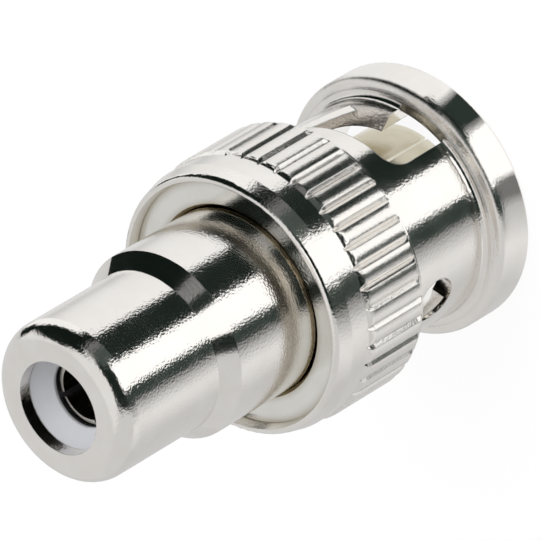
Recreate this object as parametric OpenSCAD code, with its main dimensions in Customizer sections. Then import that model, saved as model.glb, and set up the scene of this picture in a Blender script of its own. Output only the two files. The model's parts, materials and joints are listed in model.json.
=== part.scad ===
// BNC plug to RCA jack adapter, standing on the mouth of its coupling nut.
// The axis is +Z. Heights run from the nut's front face at z = 0 up to the RCA face.

/* [RCA end] */
// Outer diameter of the RCA barrel
rca_d = 8.4; // [8:0.05:9]
// Length of the RCA barrel, from its front face to the shoulder
rca_len = 6.8; // [5:0.1:10]
// Wall of the RCA barrel
rca_wall = 0.95; // [0.6:0.05:1.1]
// Rounding of the front rim
rim_round = 1.1; // [0.5:0.05:1.5]
// Diameter of the hole in the front lip
lip_d = 4.85; // [4.5:0.05:5.2]
// Thickness of the front lip
lip_t = 0.7; // [0.5:0.05:1]

/* [Body] */
// Diameter of the straight body behind the shoulder
body_d = 9.8; // [9.2:0.1:10.2]
// Length of the conical shoulder
shoulder_len = 0.85; // [0.5:0.05:2]
// Length of straight body that shows between the shoulder and the nut
body_show = 5.3; // [3:0.1:9]
// Thickness of the thrust flange inside the nut
thrust_t = 1; // [0.6:0.1:1.6]
// Depth of the sleeve's seat in the body
sleeve_grip = 2; // [1.5:0.1:3]

/* [RCA insulator and contact] */
// Diameter of the funnel's throat
throat_d = 3.5; // [3.4:0.05:3.8]
// Depth of the funnel behind the lip
funnel_depth = 0.95; // [0.5:0.05:1.5]
// Thickness of the web behind the funnel
web_t = 0.15; // [0.1:0.05:0.4]
// Outer diameter of the contact's tube
socket_d = 4; // [3.8:0.05:4.3]
// Bore of the contact's tube
socket_bore_d = 3.2; // [3:0.05:3.3]
// Bore of the pinched mouth that grips the mating pin
grip_d = 2.9; // [2.7:0.05:2.95]
// Wall of the petals at the mouth
petal_wall = 0.3; // [0.1:0.05:0.3]
// Length of the parallel grip at the mouth
grip_len = 1.2; // [0.8:0.1:2]
// Length of the taper behind the grip
pinch_len = 2; // [1:0.1:3]
// Gap between the web and the contact's mouth
mouth_gap = 0.15; // [0.05:0.05:0.3]
// Number of slits in the contact's mouth
petal_n = 4; // [2:1:6]
// Width of one slit
petal_slit_w = 0.25; // [0.2:0.05:0.6]
// Length of one slit
petal_slit_len = 6; // [4:0.5:8]
// Turn of the first slit
petal_turn = 74; // [0:1:90]
// Solid floor under the socket
socket_floor = 1; // [0.6:0.1:2]

/* [BNC plug] */
// Outer diameter of the slotted sleeve
sleeve_d = 8; // [7.8:0.05:8.2]
// Wall of the sleeve
sleeve_wall = 0.42; // [0.3:0.02:0.6]
// Distance of the sleeve's tip behind the nut's front face
sleeve_setback = 0.95; // [0.5:0.05:2]
// Rounding of the sleeve's tip
sleeve_round = 0.18; // [0.1:0.02:0.2]
// Number of slits in the sleeve
sleeve_slit_n = 4; // [2:1:6]
// Width of one slit
sleeve_slit_w = 0.2; // [0.15:0.05:0.6]
// Length of one slit
sleeve_slit_len = 6; // [3:0.5:8]
// Turn of the first slit
sleeve_turn = -58; // [-90:1:90]
// Diameter of the centre pin
pin_d = 1.35; // [1.2:0.05:1.5]
// Distance of the pin's tip behind the nut's front face
pin_setback = 1.6; // [1:0.1:3]
// Length of the pin's tapered tip
pin_tip_len = 0.6; // [0.3:0.1:1]
// Diameter of the flat on the pin's tip
pin_tip_d = 0.5; // [0.2:0.1:0.8]
// Diameter of the pin's shank in the insulator
shank_d = 1.8; // [1.6:0.05:2.2]
// Distance of the contact's foot below the thrust flange
foot_drop = 0.5; // [0:0.1:1]
// Length of insulator in front of the contact's foot
base_len = 4; // [2:0.1:5]
// Thickness of the gasket
gasket_t = 1; // [0.6:0.1:1.5]
// Width of the gasket, from its bore to its edge
gasket_w = 0.75; // [0.5:0.05:1]

/* [Coupling nut] */
// Diameter of the nut's plain bands, in front of the knurl and behind it
nut_d = 14; // [13.4:0.1:14.8]
// Wall of the nut around the retainer washer
nut_wall = 0.42; // [0.38:0.01:0.6]
// Length of the knurled grip, with the plain land in front
knurl_len = 4.2; // [3.5:0.1:7]
// Chamfer at the knurl's front end
knurl_chamfer = 0.12; // [0.05:0.01:0.2]
// Length of the slope at the knurl's rear end
knurl_fade = 0.25; // [0.2:0.05:0.6]
// Rise of the knurl above the plain bands
knurl_rise = 0.13; // [0.05:0.01:0.2]
// Length of the band behind the knurl, rim included
band_len = 2.1; // [1.8:0.1:3]
// Length of the band's tapered part
taper_len = 0.95; // [0.6:0.05:1.4]
// Fall of the band's radius along its taper
band_taper = 0.23; // [0.1:0.01:0.28]
// Number of knurl grooves
groove_n = 42; // [24:1:48]
// Width of one groove
groove_w = 0.38; // [0.2:0.02:0.6]
// Depth of one groove
groove_depth = 0.2; // [0.14:0.02:0.28]
// Plain land in front of the grooves
groove_front = 0.25; // [0.2:0.05:1]
// Diameter of the front flange
flange_d = 13.7; // [13:0.1:14.5]
// Thickness of the front flange at its edge
flange_t = 2; // [1.6:0.1:2.2]
// Height of the flange's sloped rear face
flange_slope = 0.25; // [0.1:0.05:0.4]
// Rounding of the flange's edges
flange_round = 0.25; // [0.1:0.05:0.5]
// Diameter of the neck
neck_d = 11.7; // [11.5:0.05:12]
// Diameter of the low collar where the neck meets the flange
collar_d = 12.6; // [12.4:0.05:12.8]
// Height of the collar above the flange's rear face
collar_h = 0.08; // [0.04:0.02:0.2]
// Rounding where the neck meets the collar
neck_fillet = 0.3; // [0.1:0.05:0.4]
// Bore that takes the jack's barrel
nut_bore_d = 9.75; // [9.65:0.05:9.9]
// Chamfer at the mouth
mouth_chamfer = 0.3; // [0.1:0.05:0.5]

/* [Bayonet track] */
// Width of the entry channel
entry_w = 2.8; // [2.2:0.05:3]
// Depth of the entry channel from the front face
entry_depth = 5.9; // [5.5:0.1:6.5]
// Rounding of the entry channel's blind corner
entry_round = 1.05; // [0.5:0.05:1.2]
// Diameter across the two entry grooves inside the flange
entry_d = 11.3; // [11.1:0.05:11.4]
// Diameter across the floors of the two ramps, under the skin near the lock holes
ramp_d = 11.2; // [11.1:0.05:11.3]
// Distance of the ramp's front wall from the front face, at the channel
ramp_start = 3; // [2.8:0.05:3.5]
// Diameter of the lock hole
lock_d = 2.5; // [2.2:0.05:2.7]
// Distance of the lock hole's centre from the front face
lock_depth = 5.8; // [5.3:0.1:6.3]
// Turn from the entry channel to the lock hole
lock_turn = 94; // [80:1:100]
// Lip that the lug drops over into the lock hole
lock_notch = 0.25; // [0.1:0.05:0.4]
// Ease of the ramp's rear wall inside the lock hole
lock_ease = 0.12; // [0.06:0.02:0.3]
// Turn from the lock hole over which the neck's skin covers the ramp
skin_turn = 50; // [30:1:60]
// Lean of the skin's edge, as a turn
skin_lean = 16; // [0:1:24]
// Neck left behind the track
track_margin = 1.1; // [0.5:0.1:3]
// Turn of the first track
track_turn = -61; // [-180:1:180]

/* [Rear of the nut] */
// Depth of the retainer washer below the rim
recess = 0.56; // [0.3:0.02:0.8]
// Rounding of the rim's outer edge
band_round = 0.3; // [0.1:0.02:0.4]
// Thickness of the rim at its crest
rim_crest = 0.05; // [0.02:0.01:0.1]
// Overhang of the rim on the retainer washer
rim_hold = 0.2; // [0.1:0.02:0.3]
// Thickness of the retainer washer
retainer_t = 0.6; // [0.4:0.05:0.8]
// Width of the retainer washer, from its bore to its edge
washer_w = 1.58; // [1.3:0.02:1.6]
// Chamfer of the retainer washer's bore
retainer_chamfer = 0.15; // [0.05:0.05:0.3]
// Step between the washer's seat and the spring chamber
seat_step = 0.28; // [0.15:0.01:0.4]
// Thickness of a wave washer
wave_t = 0.2; // [0.15:0.01:0.25]
// Height of the waves of a wave washer
wave_rise = 0.32; // [0.2:0.02:0.4]
// Waves round a wave washer
wave_n = 3; // [3:1:4]

/* [Clearances] */
// Radial clearance of the retainer washer on its journal
run_gap = 0.06; // [0.03:0.01:0.1]
// Clearance of the moving pieces inside the nut
free_gap = 0.12; // [0.08:0.02:0.2]
// Clearance of the pieces that seat on each other
seat_gap = 0.02; // [0.01:0.01:0.04]
// Clearance of the gasket in its undercut inside the nut
gasket_gap = 0.2; // [0.1:0.02:0.3]

/* [Hidden] */
$fn = 96;
fine_fn = 32;
over = 1;
wave_steps = 96;

// Radii
rca_r = rca_d / 2;
rca_bore_r = rca_r - rca_wall;
lip_r = lip_d / 2;
body_r = body_d / 2;
sleeve_r = sleeve_d / 2;
sleeve_in_r = sleeve_r - sleeve_wall;
gasket_r = sleeve_r + seat_gap + gasket_w;
undercut_r = gasket_r + gasket_gap;
pin_r = pin_d / 2;
shank_r = shank_d / 2;
socket_r = socket_d / 2;
socket_bore_r = socket_bore_d / 2;
grip_r = grip_d / 2;
petal_r = grip_r + petal_wall;
throat_r = throat_d / 2;
band_r = nut_d / 2;
knurl_r = band_r + knurl_rise;
rim_r = band_r - band_taper;
seat_r = band_r - nut_wall;
chamber_r = seat_r - seat_step;
thrust_r = chamber_r - free_gap;
flange_r = flange_d / 2;
neck_r = neck_d / 2;
collar_r = collar_d / 2;
nut_bore_r = nut_bore_d / 2;
entry_r = entry_d / 2;
ramp_r = ramp_d / 2;
lock_r = lock_d / 2;
retainer_r = seat_r - free_gap / 2;
retainer_bore_r = retainer_r - washer_w;
journal_r = retainer_bore_r - run_gap;
taper_turn = atan(band_taper / taper_len);
rim_arc_r = rim_r + band_round * (tan(taper_turn) - 1 / cos(taper_turn));

// Heights of the nut
z_slope = flange_t + flange_slope;
z_collar = z_slope - collar_h;
slope_turn = atan((z_collar - flange_t) / (flange_r - collar_r));
z_flange_arc = flange_t + flange_round * (tan(slope_turn) - 1 / cos(slope_turn));
ramp_end = lock_depth - lock_r + lock_notch;
track_end = lock_depth + lock_r;
rear_end = track_end - lock_ease;
z_channel = z_slope - collar_h / 2;
z_knurl = max(track_end, entry_depth) + track_margin;
z_groove = z_knurl + groove_front;
z_band = z_knurl + knurl_len;
z_rim = z_band + band_len;
z_taper = z_rim - taper_len;
z_lip_floor = z_rim - recess;

// Heights of the stack inside the nut
wave_h = wave_t + wave_rise;
z_retainer_top = z_lip_floor - seat_gap;
z_retainer = z_retainer_top - retainer_t;
z_rear_wave = z_retainer - seat_gap - wave_h;
z_front_wave = z_rear_wave - seat_gap - wave_h;
z_thrust_top = z_front_wave - seat_gap;
z_thrust = z_thrust_top - thrust_t;
z_nut_step = z_thrust - seat_gap;
z_gasket = z_thrust - seat_gap - gasket_t;
z_undercut = z_gasket - gasket_gap;
z_seat_step = z_retainer - seat_gap;
z_journal = z_retainer_top + seat_gap;

// Heights of the body and what it holds
z_sleeve_seat = z_thrust + sleeve_grip;
z_shoulder = z_retainer_top + body_show;
z_barrel = z_shoulder + shoulder_len;
z_top = z_barrel + rca_len;
z_lip = z_top - lip_t;
z_throat = z_lip - seat_gap - funnel_depth;
z_web = z_throat - web_t;
z_mouth = z_web - mouth_gap;
z_grip = z_mouth - grip_len;
z_pinch = z_grip - pinch_len;
z_foot = z_thrust - foot_drop;
z_base = z_foot - base_len;
z_socket = z_foot + socket_floor;

// What is cut from a corner to leave it rounded, with the arc's centre at the origin
module corner(r, turn = 0, sweep = 90) {
    a = r + over / 10;
    rotate(turn) difference() {
        polygon([[0, 0], [a, 0], [a, a * tan(sweep / 2)], [a * cos(sweep), a * sin(sweep)]]);
        circle(r, $fn = fine_fn);
    }
}

// What fills an inside corner to leave a fillet, with the corner at the origin
module fillet(r) {
    difference() {
        square(r);
        translate([r, r]) circle(r, $fn = fine_fn);
    }
}

// Slits cut from height z up, evenly spaced and one-sided
module slits(n, w, z, len, r, turn) {
    for (i = [0 : n - 1])
        rotate(turn + i * 360 / n)
            translate([0, -w / 2, z]) cube([r + over, w, len]);
}

// Flat ring between two radii
module ring(r_in, r_out, z, h) {
    translate([0, 0, z]) difference() {
        cylinder(r = r_out, h = h);
        translate([0, 0, -over]) cylinder(r = r_in, h = h + 2 * over);
    }
}

module rca_shell() {
    color("gainsboro") rotate_extrude() difference() {
        polygon([
            [lip_r, z_top], [rca_r, z_top], [rca_r, z_barrel], [body_r, z_shoulder],
            [body_r, z_journal], [journal_r, z_journal], [journal_r, z_thrust_top],
            [thrust_r, z_thrust_top], [thrust_r, z_thrust], [sleeve_r, z_thrust],
            [sleeve_r, z_sleeve_seat], [rca_bore_r, z_sleeve_seat], [rca_bore_r, z_lip],
            [lip_r, z_lip]
        ]);
        translate([rca_r - rim_round, z_top - rim_round]) corner(rim_round);
    }
}

module rca_insulator() {
    r_out = rca_bore_r - seat_gap;
    r_hole = socket_r + free_gap;
    z_front = z_lip - seat_gap;
    color("lavender") rotate_extrude() polygon([
        [lip_r, z_front], [r_out, z_front], [r_out, z_sleeve_seat + seat_gap],
        [r_hole, z_sleeve_seat + seat_gap], [r_hole, z_web], [throat_r, z_web], [throat_r, z_throat]
    ]);
}

module center_contact() {
    z_tip = pin_setback;
    color("silver") difference() {
        rotate_extrude() polygon([
            [0, z_tip], [pin_tip_d / 2, z_tip], [pin_r, z_tip + pin_tip_len], [pin_r, z_base],
            [shank_r, z_base], [shank_r, z_foot], [socket_r, z_foot], [socket_r, z_pinch],
            [petal_r, z_grip], [petal_r, z_mouth], [grip_r, z_mouth], [grip_r, z_grip],
            [socket_bore_r, z_pinch], [socket_bore_r, z_socket], [0, z_socket]
        ]);
        slits(petal_n, petal_slit_w, z_mouth - petal_slit_len, petal_slit_len + over, socket_r, petal_turn);
    }
}

module bnc_insulator() {
    r_out = sleeve_in_r - seat_gap;
    color("whitesmoke") rotate_extrude() polygon([
        [shank_r + seat_gap, z_base], [r_out, z_base], [r_out, z_sleeve_seat],
        [socket_r + seat_gap, z_sleeve_seat], [socket_r + seat_gap, z_foot - seat_gap],
        [shank_r + seat_gap, z_foot - seat_gap]
    ]);
}

module bnc_sleeve() {
    z_tip = sleeve_setback;
    color("wheat") difference() {
        rotate_extrude() difference() {
            translate([sleeve_in_r, z_tip]) square([sleeve_wall, z_sleeve_seat - z_tip]);
            translate([sleeve_r - sleeve_round, z_tip + sleeve_round]) corner(sleeve_round, -90);
            translate([sleeve_in_r + sleeve_round, z_tip + sleeve_round]) corner(sleeve_round, 180);
        }
        slits(sleeve_slit_n, sleeve_slit_w, z_tip - over, sleeve_slit_len + over, sleeve_r, sleeve_turn);
    }
}

module gasket() {
    color("dimgray") ring(sleeve_r + seat_gap, gasket_r, z_gasket, gasket_t);
}

// Lug track: groove inside the flange, channel through the neck, ramp under its skin, lock hole
module bayonet_track() {
    half_w = entry_w / 2;
    inside = nut_bore_r - over;
    depth = neck_r + over / 2 - inside;
    reach = neck_r + over;
    half_turn = asin(half_w / neck_r);
    ramp_in = neck_r * cos(lock_turn - half_turn / 2);
    front_rise = (ramp_end - ramp_start) / (neck_r * sin(lock_turn - half_turn));
    rear_rise = (rear_end - entry_depth) / (neck_r * sin(lock_turn));
    skin_front = neck_r * sin(skin_turn + skin_lean / 2);
    skin_rear = neck_r * sin(skin_turn - skin_lean / 2);
    intersection() {
        translate([inside, -half_w, -over]) cube([depth, entry_w, z_slope + 2 * over]);
        translate([0, 0, -2 * over]) cylinder(r = entry_r, h = z_slope + 4 * over);
    }
    translate([inside, 0, 0]) rotate([90, 0, 90]) linear_extrude(depth) difference() {
        translate([-half_w, z_channel]) square([entry_w, entry_depth - z_channel]);
        translate([entry_round - half_w, entry_depth - entry_round]) corner(entry_round, 90);
    }
    rotate(lock_turn) {
        difference() {
            translate([ramp_in, 0, 0]) rotate([90, 0, 90]) linear_extrude(reach) polygon([
                [-lock_ease, ramp_end], [-lock_ease, rear_end],
                [-reach, rear_end - rear_rise * reach], [-reach, ramp_end - front_rise * reach]
            ]);
            difference() {
                rotate([90, 0, 90]) linear_extrude(reach + over) polygon([
                    [-skin_front, ramp_start], [-skin_rear, track_end], [over, track_end], [over, ramp_start]
                ]);
                cylinder(r = ramp_r, h = z_knurl);
            }
        }
        translate([inside, 0, lock_depth]) rotate([0, 90, 0])
            cylinder(r = lock_r, h = depth, $fn = fine_fn * 2);
    }
}

// Wedge that cuts one groove of the knurl
module groove_cutter() {
    rise = 2 * groove_depth;
    translate([knurl_r - groove_depth, 0, z_groove - knurl_chamfer / 2])
        linear_extrude(z_band - z_groove + knurl_chamfer)
            polygon([[0, 0], [rise, -groove_w], [rise, groove_w]]);
}

module coupling_nut() {
    color("gainsboro") difference() {
        rotate_extrude() union() {
            difference() {
                polygon([
                    [nut_bore_r + mouth_chamfer, 0], [flange_r, 0], [flange_r, flange_t],
                    [collar_r, z_collar], [collar_r, z_slope], [neck_r, z_slope], [neck_r, z_knurl],
                    [band_r - knurl_chamfer, z_knurl], [band_r, z_knurl + knurl_chamfer],
                    [band_r, z_groove], [knurl_r, z_groove + knurl_chamfer],
                    [knurl_r, z_band - knurl_fade], [band_r, z_band], [band_r, z_taper],
                    [rim_r, z_rim], [rim_arc_r - rim_crest, z_rim],
                    [seat_r - rim_hold, z_lip_floor], [seat_r, z_lip_floor], [seat_r, z_seat_step],
                    [chamber_r, z_seat_step], [chamber_r, z_nut_step], [undercut_r, z_nut_step],
                    [undercut_r, z_undercut], [nut_bore_r, z_undercut], [nut_bore_r, mouth_chamfer]
                ]);
                translate([rim_arc_r, z_rim - band_round])
                    corner(band_round, taper_turn, 90 - taper_turn);
                translate([flange_r - flange_round, flange_round]) corner(flange_round, -90);
                translate([flange_r - flange_round, z_flange_arc]) corner(flange_round, 0, 90 - slope_turn);
            }
            translate([neck_r, z_slope]) fillet(neck_fillet);
        }
        for (turn = [0, 180]) rotate(track_turn + turn) bayonet_track();
        for (i = [0 : groove_n - 1]) rotate(i * 360 / groove_n) groove_cutter();
    }
}

module retainer_washer() {
    color("lightgray") rotate_extrude() polygon([
        [retainer_bore_r, z_retainer], [retainer_r, z_retainer], [retainer_r, z_retainer_top],
        [retainer_bore_r + retainer_chamfer, z_retainer_top],
        [retainer_bore_r, z_retainer_top - retainer_chamfer]
    ]);
}

// Height of a wave washer's middle above its lowest point, at a turn
function wave_z(turn, phase) = wave_t / 2 + wave_rise / 2 * (1 + cos(wave_n * turn + phase));

// Wave washer: a flat ring bent into waves
module wave_washer(z, phase) {
    r_in = retainer_bore_r + free_gap;
    r_out = thrust_r - free_gap;
    section = [[r_in, -1], [r_out, -1], [r_out, 1], [r_in, 1]];
    n = len(section);
    pts = [for (i = [0 : wave_steps - 1])
        let (turn = i * 360 / wave_steps, mid = z + wave_z(turn, phase))
        for (c = section) [c[0] * cos(turn), c[0] * sin(turn), mid + c[1] * wave_t / 2]];
    faces = [for (i = [0 : wave_steps - 1], k = [0 : n - 1])
        let (a = n * i, b = n * ((i + 1) % wave_steps), m = (k + 1) % n)
        each [[a + k, a + m, b + m], [a + k, b + m, b + k]]];
    polyhedron(pts, faces);
}

module front_wave_washer() { color("darkgray") wave_washer(z_front_wave, 0); }
module rear_wave_washer() { color("darkgray") wave_washer(z_rear_wave, 180); }

rca_shell();
rca_insulator();
center_contact();
bnc_insulator();
bnc_sleeve();
gasket();
coupling_nut();
retainer_washer();
front_wave_washer();
rear_wave_washer();
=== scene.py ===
"""Finishes, stage, light and camera for the BNC to RCA adapter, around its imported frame."""

import json
import math

import bpy
from mathutils import Matrix, Vector


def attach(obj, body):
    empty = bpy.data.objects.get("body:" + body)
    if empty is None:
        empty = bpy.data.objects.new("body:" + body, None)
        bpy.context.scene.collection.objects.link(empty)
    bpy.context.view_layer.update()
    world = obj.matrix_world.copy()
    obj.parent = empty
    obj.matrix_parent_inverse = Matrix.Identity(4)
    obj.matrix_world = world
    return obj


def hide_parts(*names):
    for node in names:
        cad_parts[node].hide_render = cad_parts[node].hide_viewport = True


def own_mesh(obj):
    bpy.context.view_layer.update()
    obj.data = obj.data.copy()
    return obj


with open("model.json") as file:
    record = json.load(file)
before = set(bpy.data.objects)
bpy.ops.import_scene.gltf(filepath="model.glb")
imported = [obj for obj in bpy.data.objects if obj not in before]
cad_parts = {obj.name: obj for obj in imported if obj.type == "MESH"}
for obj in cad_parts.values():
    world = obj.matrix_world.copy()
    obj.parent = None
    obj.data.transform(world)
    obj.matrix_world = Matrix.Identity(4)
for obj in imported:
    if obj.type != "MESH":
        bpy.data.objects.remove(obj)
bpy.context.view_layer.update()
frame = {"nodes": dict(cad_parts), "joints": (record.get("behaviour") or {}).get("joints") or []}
nodes = frame["nodes"]

MM = 0.001
WHITE = (1.0, 1.0, 1.0)

# Camera: it looks down on the RCA end and is rolled, so that the axis runs to the lower left
CAMERA_ELEVATION = math.radians(40.5)
CAMERA_ROLL = math.radians(-120.85)
CAMERA_DISTANCE = 500 * MM
CAMERA_AIM = Vector((0.478 * MM, 0, 11.07 * MM))
VIEW_WIDTH = 26.09 * MM

# Floor, surroundings and lamp
FLOOR_SIZE = 4.0
FLOOR_TONE = (0.9, 0.9, 0.9)
FLOOR_GLOW = 0.93
WORLD_TONE = (0.8, 0.8, 0.8)
WORLD_LIGHT = 0.8
LAMP_PLACE = Vector((0.15, -0.1, 0.3))
LAMP_SIZE = 0.25
LAMP_POWER = 0.9

# Nearest and furthest thing that the camera shows
CLIP_START = CAMERA_DISTANCE / 10
CLIP_END = FLOOR_SIZE * 2

# Studio cards: tint of the black ones, shade from which they are white, step in degrees, lift, end shades
CARD_DARK = (0.6, 1.0, 0.8)
CARD_LIGHT_FROM = 0.15
CARD_STEP = 3.0
CARD_LIFT = 0.02 * MM
BLACK = 0.01
BRIGHT = 1.2

# Floor cards: radius of the cylinder that mirrors them, then distances from it where they start and end
CARD_NOMINAL_R = 5.2 * MM
CARD_NEAR = 1.8 * MM
FLANGE_FAR = 3.5 * MM
FLOOR_FAR = 36 * MM

# Wall cards: radius of the wall, and height from which their elevations are counted
WALL_R = 250 * MM
WALL_EYE = 14 * MM

# Cards on the floor: name, start and end, then angle from the camera side and shade, stop by stop
GREY_SIDE = ((34, 0.84), (38, 0.82), (51, 0.62), (95, 0.62))
FLOOR_CARDS = (
    ("floor_flange", (CARD_NEAR, FLANGE_FAR),
     ((-95, 0.78), (-60, 0.88), (-26, 1.0), (-22, 0.04), (-12, 0.04), (-9, 0.6), (-8, BRIGHT),
      (9, BRIGHT), (11.5, 0.2), (17, 0.2), (21, 0.55), *GREY_SIDE)),
    ("floor_warm", (FLANGE_FAR, FLOOR_FAR),
     ((-95, 0.78), (-75, 0.76), (-71, 0.6), (-66, 0.76), (-60, 0.88), (-29.5, 1.0))),
    ("floor_dark", (FLANGE_FAR, FLOOR_FAR), ((-29.5, 0.02), (-7, 0.02))),
    ("floor_bright", (FLANGE_FAR, WALL_R), ((-7, BRIGHT), (12, BRIGHT))),
    ("floor_strip", (FLANGE_FAR, WALL_R), ((12, 0.05), (21.5, 0.05))),
    ("floor_grey", (FLANGE_FAR, WALL_R), ((21.5, 0.2), (24, 0.39), (29, 0.65), *GREY_SIDE)),
)

# Cards round the stage: name, directions from the camera side, elevations, shade
WALL_CARDS = (
    ("wall_apron", (-65, -44), (-21, -3), BLACK),
    ("wall_dark", (-122, -49), (-3, 36), BLACK),
    ("wall_dark_top", (-122, -53), (36, 60), BLACK),
    ("wall_dark_side", (-142, -122), (-9, 12), BLACK),
    ("wall_dim", (-49, -36), (-20, 34), 0.17),
    ("wall_dusk", (-36, -12), (-20, 34), 0.08),
    ("wall_edge", (-49, -30), (34, 38), 0.2),
    ("wall_dusk_top", (-30, -12), (34, 37), 0.05),
    ("wall_grey_top", (-53, -30), (38, 48), 0.42),
    ("wall_bright", (-12, 25), (-3, 7), BRIGHT),
    ("wall_strip", (25, 46), (-3, 7), 0.03),
    ("wall_shade", (-12, 46), (7, 37), 0.015),
    ("wall_camera", (-30, 54), (37, 54), 0.015),
    ("wall_side", (46, 140), (-3, 60), 0.66),
    ("wall_back", (140, 220), (-30, 65), 0.69),
)

# Upright card near the body, which brightens the middle of the shoulder and of the rim
NEAR_ANGLES = (-6, 12.5)
NEAR_HEIGHTS = (19.9 * MM, 26.6 * MM)
NEAR_ROOT = 4.55 * MM
NEAR_GAP = 6 * MM

# Span in which most values of a noise lie, and rays that feel for edges and for recesses
NOISE_SPAN = (0.3, 0.7)
EDGE_RAYS = 6
RECESS_RAYS = 8

# Plating: size of its clouds, and how finely its pits branch
METAL_CLOUD = 1.5 * MM
PIT_DETAIL = 1

# Front flange of the nut, whose edges are softer than the rest
FLANGE_LOW = 1.0 * MM
FLANGE_HIGH = 2.3 * MM
FLANGE_BLEND = 0.1 * MM
FLANGE_SOFTNESS = 0.22 * MM

# Shoulder of the body, which is smoother than the barrel
SHOULDER_LOW = 19.1 * MM
SHOULDER_HIGH = 20.1 * MM
SHOULDER_BLEND = 0.1 * MM
SHOULDER_PITS = 0.3

# Knurl of the nut, which is rougher than the rest and has crowned ridges
KNURL_FRONT = 8.4 * MM
KNURL_REAR = 12.2 * MM
KNURL_BLEND = 0.3 * MM
KNURL_COUNT = 42
KNURL_PITCH = 1.067 * MM
KNURL_LAND = 0.34 * MM
KNURL_CURVE = 0.9 / MM
KNURL_ROUGH = 0.12

# Painted shade round the washer: its brown colour, its reach, and how open the shaded and the plain metal
# lie
WASHER_SHADE_TONE = (0.42, 0.36, 0.25)
WASHER_SHADE_REACH = 0.8 * MM
WASHER_SHADE_SPAN = (0.45, 0.85)

# Plastic: clouds, unevenness, rounded edges, light inside it, and painted shade of its recesses
PLASTIC_CLOUD = 1.2 * MM
PLASTIC_UNEVEN = 0.1
PLASTIC_EDGE = 0.05 * MM
PLASTIC_DEPTH = (0.4 * MM, 0.4 * MM, 0.5 * MM)
PLASTIC_INSIDE = 0.25
RECESS_REACH = 1.5 * MM
RECESS_SPAN = (0.1, 0.95)

# Rubber: grain, how finely it branches, its depth, and roughness
RUBBER_GRAIN = 0.3 * MM
RUBBER_DETAIL = 4
RUBBER_PIT = 0.01 * MM
RUBBER_ROUGH = (0.6, 0.8)


def add_object(name, data):
    """A new object in the scene."""
    piece = bpy.data.objects.new(name, data)
    bpy.context.scene.collection.objects.link(piece)
    return piece


def add_mesh(name, points, faces):
    """A mesh object from points and faces."""
    mesh = bpy.data.meshes.new(name)
    mesh.from_pydata(points, [], faces)
    return add_object(name, mesh)


def feed(tree, socket, value):
    """Links a socket to another, or sets its number or colour."""
    if isinstance(value, bpy.types.NodeSocket):
        tree.links.new(value, socket)
    else:
        socket.default_value = value


def feed_inputs(tree, node, inputs):
    """Links or sets several inputs of a shader node by name."""
    for name, value in inputs.items():
        feed(tree, node.inputs[name], value)


def add_node(tree, kind, inputs=None, **settings):
    """One shader node with its inputs and settings."""
    node = tree.nodes.new(kind)
    for key, value in settings.items():
        setattr(node, key, value)
    feed_inputs(tree, node, inputs or {})
    return node


def new_material(name):
    """A node material, with its tree and its shader."""
    material = bpy.data.materials.new(name)
    material.use_nodes = True
    tree = material.node_tree
    return material, tree, tree.nodes["Principled BSDF"]


def calculate(tree, operation, *values):
    """One sum of sockets and numbers."""
    node = add_node(tree, "ShaderNodeMath", operation=operation)
    for socket, value in zip(node.inputs, values):
        feed(tree, socket, value)
    return node.outputs["Value"]


def noise(tree, feature, detail=2.0):
    """Noise in the object's own space, with features of a given size."""
    place = add_node(tree, "ShaderNodeTexCoord").outputs["Object"]
    inputs = {"Vector": place, "Scale": 1 / feature, "Detail": detail}
    return add_node(tree, "ShaderNodeTexNoise", inputs).outputs["Fac"]


def ramp(tree, source, low, high, span=NOISE_SPAN):
    """Colours from low to high over a span of values."""
    node = add_node(tree, "ShaderNodeValToRGB", {"Fac": source})
    for stop, place, colour in zip(node.color_ramp.elements, span, (low, high)):
        stop.position = place
        stop.color = (*colour, 1)
    return node.outputs["Color"]


def remap(tree, source, span, low=0, high=1):
    """Numbers from low to high over a span of values."""
    start, end = span
    inputs = {"Value": source, "From Min": start, "From Max": end, "To Min": low, "To Max": high}
    return add_node(tree, "ShaderNodeMapRange", inputs).outputs["Result"]


def bump(tree, height, depth, normal=None):
    """Bump of a given depth, on top of another normal if there is one."""
    inputs = {"Distance": depth, "Height": height}
    if normal is not None:
        inputs["Normal"] = normal
    return add_node(tree, "ShaderNodeBump", inputs).outputs["Normal"]


def soft_edges(tree, radius):
    """Normals that round off the sharp edges."""
    return add_node(tree, "ShaderNodeBevel", {"Radius": radius}, samples=EDGE_RAYS).outputs["Normal"]


def openness(tree, reach):
    """1 where nothing is near the surface, and less in its recesses."""
    node = add_node(tree, "ShaderNodeAmbientOcclusion", {"Distance": reach}, samples=RECESS_RAYS)
    return node.outputs["AO"]


def own_axes(tree):
    """The place on the object along each of its axes."""
    place = add_node(tree, "ShaderNodeTexCoord").outputs["Object"]
    return add_node(tree, "ShaderNodeSeparateXYZ", {"Vector": place}).outputs


def height_zone(tree, low, high, blend):
    """1 between two heights of the object and 0 elsewhere."""
    height = own_axes(tree)["Z"]
    above_low = remap(tree, height, (low, low + blend))
    below_high = remap(tree, height, (high, high - blend))
    return calculate(tree, "MULTIPLY", above_low, below_high)


def crowned_ridges(tree):
    """Height of the knurl's crowned ridges, highest along the middle of each."""
    axes = own_axes(tree)
    turn = calculate(tree, "ARCTAN2", axes["Y"], axes["X"])
    pitches = calculate(tree, "MULTIPLY", turn, KNURL_COUNT / math.tau)
    from_groove = calculate(tree, "PINGPONG", pitches, 1 / 2)
    from_middle = calculate(tree, "MULTIPLY_ADD", from_groove, -KNURL_PITCH, KNURL_PITCH / 2)
    on_land = calculate(tree, "MINIMUM", from_middle, KNURL_LAND)
    drop = calculate(tree, "MULTIPLY", on_land, on_land)
    return calculate(tree, "MULTIPLY", drop, -KNURL_CURVE / 2)


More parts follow.
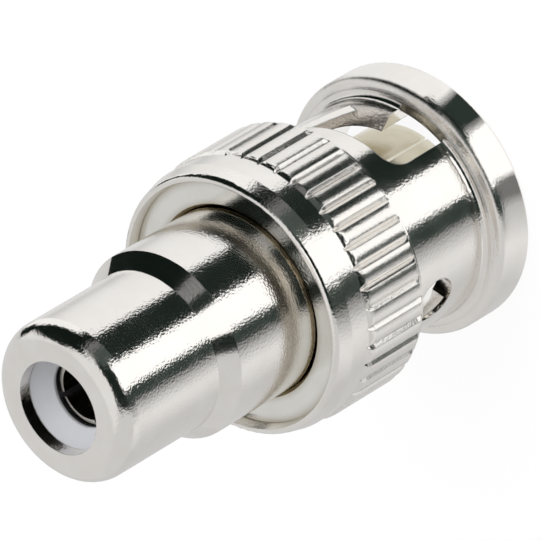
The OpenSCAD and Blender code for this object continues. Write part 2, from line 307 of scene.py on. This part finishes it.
def plating(name, tone, shade, rough, grain, pit, edge):
    """Bright plating: a warm mirror whose fine pits break up the edges of its reflections."""
    material, tree, shader = new_material(name)
    cloud = noise(tree, METAL_CLOUD)
    pits = noise(tree, grain, PIT_DETAIL)
    feed_inputs(tree, shader, {
        "Metallic": 1,
        "Base Color": ramp(tree, cloud, shade, tone),
        "Roughness": remap(tree, cloud, NOISE_SPAN, *rough),
        "Normal": bump(tree, pits, pit, soft_edges(tree, edge)),
    })
    return material


def smooth_shoulder(material):
    """Lessens the pits along the shoulder of the body."""
    tree = material.node_tree
    zone = height_zone(tree, SHOULDER_LOW, SHOULDER_HIGH, SHOULDER_BLEND)
    strength = calculate(tree, "MULTIPLY_ADD", zone, SHOULDER_PITS - 1, 1)
    tree.links.new(strength, tree.nodes["Bump"].inputs["Strength"])


def crown_knurl(material):
    """Roughens the knurl of the nut and crowns its ridges."""
    tree = material.node_tree
    roughness = tree.nodes["Principled BSDF"].inputs["Roughness"]
    plain = roughness.links[0].from_socket
    zone = height_zone(tree, KNURL_FRONT, KNURL_REAR, KNURL_BLEND)
    tree.links.new(calculate(tree, "MULTIPLY_ADD", zone, KNURL_ROUGH, plain), roughness)
    pits = tree.nodes["Bump"]
    height = calculate(tree, "MULTIPLY", crowned_ridges(tree), zone)
    tree.links.new(bump(tree, height, 1, tree.nodes["Bevel"].outputs["Normal"]), pits.inputs["Normal"])


def soften_flange(material):
    """Rounds the edges of the nut's front flange more than the others."""
    tree = material.node_tree
    radius = tree.nodes["Bevel"].inputs["Radius"]
    zone = height_zone(tree, FLANGE_LOW, FLANGE_HIGH, FLANGE_BLEND)
    tree.links.new(calculate(tree, "MULTIPLY_ADD", zone, FLANGE_SOFTNESS, radius.default_value), radius)


def paint_recess_shade(material):
    """Painted shade: browns and darkens the plating in its recesses, where little light gets in."""
    tree = material.node_tree
    base = tree.nodes["Principled BSDF"].inputs["Base Color"]
    painted_shade = ramp(tree, openness(tree, WASHER_SHADE_REACH), WASHER_SHADE_TONE, WHITE, WASHER_SHADE_SPAN)
    product = add_node(tree, "ShaderNodeVectorMath", operation="MULTIPLY")
    for socket, colour in zip(product.inputs, (base.links[0].from_socket, painted_shade)):
        tree.links.new(colour, socket)
    tree.links.new(product.outputs["Vector"], base)


def plastic(name, tone, shade, rough, grain, pit):
    """Moulded plastic with a faint unevenness, and painted shade that darkens its recesses."""
    material, tree, shader = new_material(name)
    cloud = noise(tree, PLASTIC_CLOUD)
    uneven = calculate(tree, "MULTIPLY_ADD", cloud, PLASTIC_UNEVEN, 1 - PLASTIC_UNEVEN / 2)
    # Painted shade: the base colour goes dark where recesses close in, and pale where the surface is open
    light = calculate(tree, "MULTIPLY", openness(tree, RECESS_REACH), uneven)
    pits = noise(tree, grain)
    feed_inputs(tree, shader, {
        "Base Color": ramp(tree, light, shade, tone, RECESS_SPAN),
        "Roughness": remap(tree, cloud, NOISE_SPAN, *rough),
        "Normal": bump(tree, pits, pit, soft_edges(tree, PLASTIC_EDGE)),
        "Subsurface Weight": PLASTIC_INSIDE,
        "Subsurface Radius": PLASTIC_DEPTH,
        "Subsurface Scale": 1,
    })
    return material


def rubber(name, tone, shade):
    """Dull moulded rubber."""
    material, tree, shader = new_material(name)
    cloud = noise(tree, RUBBER_GRAIN, RUBBER_DETAIL)
    feed_inputs(tree, shader, {
        "Base Color": ramp(tree, cloud, shade, tone),
        "Roughness": remap(tree, cloud, NOISE_SPAN, *RUBBER_ROUGH),
        "Normal": bump(tree, cloud, RUBBER_PIT),
    })
    return material


def finish_node(name, material):
    """Gives a CAD node its material."""
    mesh = nodes[name].data
    mesh.materials.clear()
    mesh.materials.append(material)


def add_spring(name):
    """A stand-in for a wave washer: a copy of its mesh fixed to the body, with the washer itself hidden.
    """
    spring = add_object(f"{name}_spring", nodes[name].data.copy())
    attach(spring, "body")
    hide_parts(name)
    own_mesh(spring)


def seen_rays(tree):
    """1 for camera, glossy and transmission rays, and 0 for the light that falls on the object."""
    rays = add_node(tree, "ShaderNodeLightPath").outputs
    mirrored = calculate(tree, "MAXIMUM", rays["Is Camera Ray"], rays["Is Glossy Ray"])
    return calculate(tree, "MAXIMUM", mirrored, rays["Is Transmission Ray"])


def mix_surface(tree, share, plain, seen, output):
    """Shows the seen shader by a share, and the plain one for the rest."""
    mix = add_node(tree, "ShaderNodeMixShader", {"Fac": share})
    for socket, shader in zip(mix.inputs[1:], (plain, seen)):
        tree.links.new(shader.outputs[0], socket)
    tree.links.new(mix.outputs["Shader"], tree.nodes[output].inputs["Surface"])


def make_floor():
    """Plain white floor that keeps a soft shadow."""
    half = FLOOR_SIZE / 2
    corners = [(-half, -half, 0), (half, -half, 0), (half, half, 0), (-half, half, 0)]
    floor = add_mesh("floor", corners, [(0, 1, 2, 3)])
    material, tree, shader = new_material("floor_white")
    feed_inputs(tree, shader, {"Base Color": (*FLOOR_TONE, 1), "Roughness": 1, "Specular IOR Level": 0})
    glow = add_node(tree, "ShaderNodeEmission", {"Color": (*WHITE, 1), "Strength": 1})
    share = calculate(tree, "MULTIPLY", seen_rays(tree), FLOOR_GLOW)
    mix_surface(tree, share, shader, glow, "Material Output")
    floor.data.materials.append(material)


def make_world():
    """Pale surroundings that the metal mirrors, and plain white light on the object."""
    world = bpy.data.worlds.new("studio")
    world.use_nodes = True
    tree = world.node_tree
    light = tree.nodes["Background"]
    feed_inputs(tree, light, {"Color": (*WHITE, 1), "Strength": WORLD_LIGHT})
    pale = add_node(tree, "ShaderNodeBackground", {"Color": (*WORLD_TONE, 1), "Strength": 1})
    mix_surface(tree, seen_rays(tree), light, pale, "World Output")
    bpy.context.scene.world = world


def card_material():
    """Glow of a studio card, from white to a greenish black, as its points say."""
    material, tree, shader = new_material("card")
    tree.nodes.remove(shader)
    shade = add_node(tree, "ShaderNodeAttribute", attribute_name="shade").outputs["Fac"]
    tint = ramp(tree, shade, CARD_DARK, WHITE, (0, CARD_LIGHT_FROM))
    glow = add_node(tree, "ShaderNodeEmission", {"Color": tint, "Strength": shade})
    tree.links.new(glow.outputs["Emission"], tree.nodes["Material Output"].inputs["Surface"])
    return material


def make_card(name, rows, shades, material):
    """A studio card that only the metal mirrors: a strip of point pairs with a shade each."""
    points = [point for pair in rows for point in pair]
    faces = [(2 * i, 2 * i + 1, 2 * i + 3, 2 * i + 2) for i in range(len(rows) - 1)]
    piece = add_mesh(name, points, faces)
    values = [shade for shade in shades for _ in range(2)]
    piece.data.attributes.new("shade", "FLOAT", "POINT").data.foreach_set("value", values)
    piece.data.materials.append(material)
    for ray in ("camera", "diffuse", "transmission", "volume_scatter", "shadow"):
        setattr(piece, f"visible_{ray}", False)


def heading(azimuth):
    """Level direction at an angle from the camera's side, positive towards -X."""
    turn = math.radians(azimuth)
    return Vector((-math.sin(turn), -math.cos(turn), 0))


def steps_between(start, end):
    """Angles from start to end in small steps, each after its share of the way."""
    count = max(1, math.ceil(abs(end - start) / CARD_STEP))
    return [(i / count, start + (end - start) * i / count) for i in range(count + 1)]


def floor_card(name, span, stops, material):
    """A card on the floor whose shades a cylinder mirrors at these angles from its camera side."""
    rows = []
    shades = []
    for (start, shade_start), (end, shade_end) in zip(stops, stops[1:]):
        for share, angle in steps_between(start, end):
            root = heading(angle) * CARD_NOMINAL_R + Vector((0, 0, CARD_LIFT))
            away = heading(2 * angle)
            rows.append([root + away * distance for distance in span])
            shades.append(shade_start + (shade_end - shade_start) * share)
    make_card(name, rows, shades, material)


def screen_point(azimuth, rise):
    """Where a look out from the nut's rim meets the wall round the stage, or else the floor."""
    slope = math.tan(math.radians(rise))
    reach = WALL_R
    if slope * WALL_R < -WALL_EYE:
        reach = -WALL_EYE / slope
    return heading(azimuth) * reach + Vector((0, 0, WALL_EYE + slope * reach + CARD_LIFT / 2))


def wall_card(name, directions, elevations, shade, material):
    """A card round the stage that bends where the wall meets the floor."""
    low, high = elevations
    bend = -math.degrees(math.atan(WALL_EYE / WALL_R))
    rises = [low, bend, high] if low < bend < high else [low, high]
    for i in range(len(rises) - 1):
        rows = []
        for _, angle in steps_between(*directions):
            rows.append([screen_point(angle, rise) for rise in rises[i:i + 2]])
        make_card(f"{name}_{i}", rows, [shade] * len(rows), material)


def near_card(name, angles, heights, shade, material):
    """A small upright card beside the body."""
    rows = []
    for _, angle in steps_between(*angles):
        foot = heading(angle) * NEAR_ROOT + heading(2 * angle) * NEAR_GAP
        rows.append([foot + Vector((0, 0, height)) for height in heights])
    make_card(name, rows, [shade] * len(rows), material)


def make_lamp():
    """Soft square lamp aimed at the middle of the object, which the metal doesn't mirror."""
    data = bpy.data.lights.new("key", "AREA")
    data.size = LAMP_SIZE
    data.energy = LAMP_POWER
    lamp = add_object("key", data)
    lamp.location = LAMP_PLACE
    lamp.rotation_euler = (CAMERA_AIM - LAMP_PLACE).to_track_quat("-Z", "Y").to_euler()
    lamp.visible_glossy = False


def make_camera():
    """Camera at the photograph's angle, with its roll."""
    data = bpy.data.cameras.new("camera")
    data.sensor_fit = "HORIZONTAL"
    data.angle = 2 * math.atan(VIEW_WIDTH / 2 / CAMERA_DISTANCE)
    data.clip_start = CLIP_START
    data.clip_end = CLIP_END
    camera = add_object("camera", data)
    back = Vector((0, -math.cos(CAMERA_ELEVATION), math.sin(CAMERA_ELEVATION)))
    level = Vector((1, 0, 0))
    upright = back.cross(level)
    right = level * math.cos(CAMERA_ROLL) + upright * math.sin(CAMERA_ROLL)
    up = upright * math.cos(CAMERA_ROLL) - level * math.sin(CAMERA_ROLL)
    turn = Matrix((right, up, back)).transposed().to_4x4()
    camera.matrix_world = Matrix.Translation(CAMERA_AIM + back * CAMERA_DISTANCE) @ turn
    bpy.context.scene.camera = camera


# Finishes
body_plating = plating(
    "body_plating",
    tone=(0.90, 0.875, 0.84),
    shade=(0.86, 0.83, 0.79),
    rough=(0.1, 0.14),
    grain=0.12 * MM,
    pit=0.0095 * MM,
    edge=0.06 * MM,
)
smooth_shoulder(body_plating)

nut_plating = plating(
    "nut_plating",
    tone=(0.90, 0.875, 0.84),
    shade=(0.86, 0.83, 0.79),
    rough=(0.12, 0.16),
    grain=0.13 * MM,
    pit=0.0085 * MM,
    edge=0.07 * MM,
)
crown_knurl(nut_plating)
soften_flange(nut_plating)

washer_plating = plating(
    "washer_plating",
    tone=(0.87, 0.865, 0.825),
    shade=(0.82, 0.81, 0.765),
    rough=(0.1, 0.16),
    grain=0.2 * MM,
    pit=0.002 * MM,
    edge=0.04 * MM,
)
# Painted shade, browned, in the washer's corners and recesses
paint_recess_shade(washer_plating)

sleeve_plating = plating(
    "sleeve_plating",
    tone=(0.76, 0.73, 0.62),
    shade=(0.66, 0.62, 0.49),
    rough=(0.15, 0.25),
    grain=0.12 * MM,
    pit=0.003 * MM,
    edge=0.04 * MM,
)

contact_plating = plating(
    "contact_plating",
    tone=(0.82, 0.79, 0.73),
    shade=(0.74, 0.70, 0.62),
    rough=(0.1, 0.18),
    grain=0.1 * MM,
    pit=0.003 * MM,
    edge=0.03 * MM,
)

spring_metal = plating(
    "spring_metal",
    tone=(0.62, 0.60, 0.57),
    shade=(0.54, 0.52, 0.49),
    rough=(0.25, 0.35),
    grain=0.1 * MM,
    pit=0.003 * MM,
    edge=0.02 * MM,
)

# White plastic: its tone is its own bluish white lowered to a grey as painted shade of the holes it sits
# in, and its shade is the colour of the painted shade deep in recesses
white_plastic = plastic(
    "white_plastic",
    tone=(0.53, 0.535, 0.56),
    shade=(0.04, 0.04, 0.05),
    rough=(0.3, 0.4),
    grain=0.2 * MM,
    pit=0.002 * MM,
)

seal_rubber = rubber("seal_rubber", tone=(0.06, 0.06, 0.06), shade=(0.03, 0.03, 0.03))

finish_node("rca_shell", body_plating)
finish_node("rca_insulator", white_plastic)
finish_node("center_contact", contact_plating)
finish_node("bnc_insulator", white_plastic)
finish_node("bnc_sleeve", sleeve_plating)
finish_node("gasket", seal_rubber)
finish_node("coupling_nut", nut_plating)
finish_node("retainer_washer", washer_plating)
finish_node("front_wave_washer", spring_metal)
finish_node("rear_wave_washer", spring_metal)

# Springs: a stand-in for each wave washer that the nut's float joint lists as deforming
nut_float = next(joint for joint in frame["joints"] if joint["name"] == "nut_float")
for washer in nut_float["deforming_nodes"]:
    add_spring(washer["node"])

# Stage, light and camera
make_floor()
make_world()
card = card_material()
for name, span, stops in FLOOR_CARDS:
    floor_card(name, span, stops, card)
for name, directions, elevations, shade in WALL_CARDS:
    wall_card(name, directions, elevations, shade, card)
near_card("near_bright", NEAR_ANGLES, NEAR_HEIGHTS, BRIGHT, card)
make_lamp()
make_camera()
bpy.context.scene.view_settings.view_transform = "Standard"
